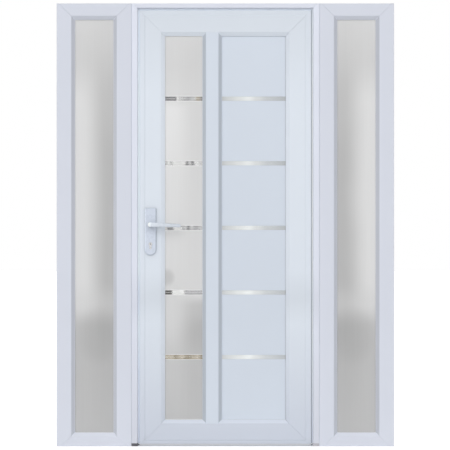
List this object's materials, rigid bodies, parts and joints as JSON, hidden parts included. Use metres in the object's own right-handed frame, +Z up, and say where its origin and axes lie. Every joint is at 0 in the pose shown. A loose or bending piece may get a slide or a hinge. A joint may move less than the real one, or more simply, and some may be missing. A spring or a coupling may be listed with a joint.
{
  "type": "entrance door with sidelights",
  "caption": "White framed entrance door with fixed frosted sidelights, an inward-opening leaf with glass and steel-stripped panel, and a lever handle.",
  "frame": {"origin": "middle of the threshold's underside, on the floor line and on the middle of the frame's depth", "axes": "+X to the right seen from outside, +Y into the house, +Z up"},
  "size_m": [1.6, 0.2034, 2.1],
  "materials": {
    "white_plastic": "satin white window plastic, faintly cool",
    "panel_skin": "smooth satin white panel skin",
    "white_enamel": "white powder coat, semi gloss",
    "frosted_glass": "blasted frosted glass, clear stripes on the leaf",
    "clear_glass": "clear float glass",
    "mill_aluminium": "matt mill finish",
    "grey_rubber": "grey sealing rubber",
    "brushed_steel": "brushed along its length",
    "nickel": "satin nickel plate",
    "black_plastic": "black moulded end block",
    "grey_plastic": "grey-brown moulded end block"
  },
  "bodies": {
    "frame": {"left_light_outer_stile": "white_plastic", "left_light_inner_stile": "white_plastic", "left_light_head": "white_plastic", "left_light_sill": "white_plastic", "left_light_beads": "white_plastic", "right_light_outer_stile": "white_plastic", "right_light_inner_stile": "white_plastic", "right_light_head": "white_plastic", "right_light_sill": "white_plastic", "right_light_beads": "white_plastic", "left_light_frosted_pane": "frosted_glass", "right_light_frosted_pane": "frosted_glass", "sidelight_clear_panes": "clear_glass", "sidelight_spacers": "mill_aluminium", "sidelight_gaskets": "grey_rubber", "left_jamb": "white_plastic", "right_jamb": "white_plastic", "left_jamb_foot": "black_plastic", "right_jamb_foot": "grey_plastic", "frame_head": "white_plastic", "threshold": "mill_aluminium", "frame_seal": "grey_rubber", "lock_keep": "brushed_steel", "hinge_frame_wings": "white_enamel", "hinge_pins": "brushed_steel"},
    "leaf": {"leaf_lock_stile": "white_plastic", "leaf_hinge_stile": "white_plastic", "leaf_top_rail": "white_plastic", "leaf_bottom_rail": "white_plastic", "leaf_mullion": "white_plastic", "leaf_frosted_pane": "frosted_glass", "leaf_clear_pane": "clear_glass", "leaf_spacer": "mill_aluminium", "leaf_panel": "panel_skin", "steel_strips": "brushed_steel", "leaf_gaskets": "grey_rubber", "leaf_glass_beads": "white_plastic", "leaf_panel_beads": "white_plastic", "handle_plate_outside": "white_enamel", "handle_plate_inside": "white_enamel", "lock_cylinder": "nickel", "lock_faceplate": "brushed_steel", "lock_bolts": "brushed_steel", "hinge_leaf_wings": "white_enamel"},
    "levers": {"lever_outside": "white_enamel", "lever_inside": "white_enamel", "spindle": "brushed_steel"}
  },
  "joints": [
    {"name": "leaf_swing", "type": "hinge", "parent": "frame", "child": "leaf", "pos_m": [0.446, 0.05, 0], "axis": [0, 0, -1], "range_deg": [0, 100]},
    {"name": "lever_turn", "type": "hinge", "parent": "leaf", "child": "levers", "pos_m": [-0.355, 0, 1.051], "axis": [0, 1, 0], "range_deg": [0, 40], "stiffness_Nm_per_rad": 1.5, "springref_deg": -28.65}
  ]
}
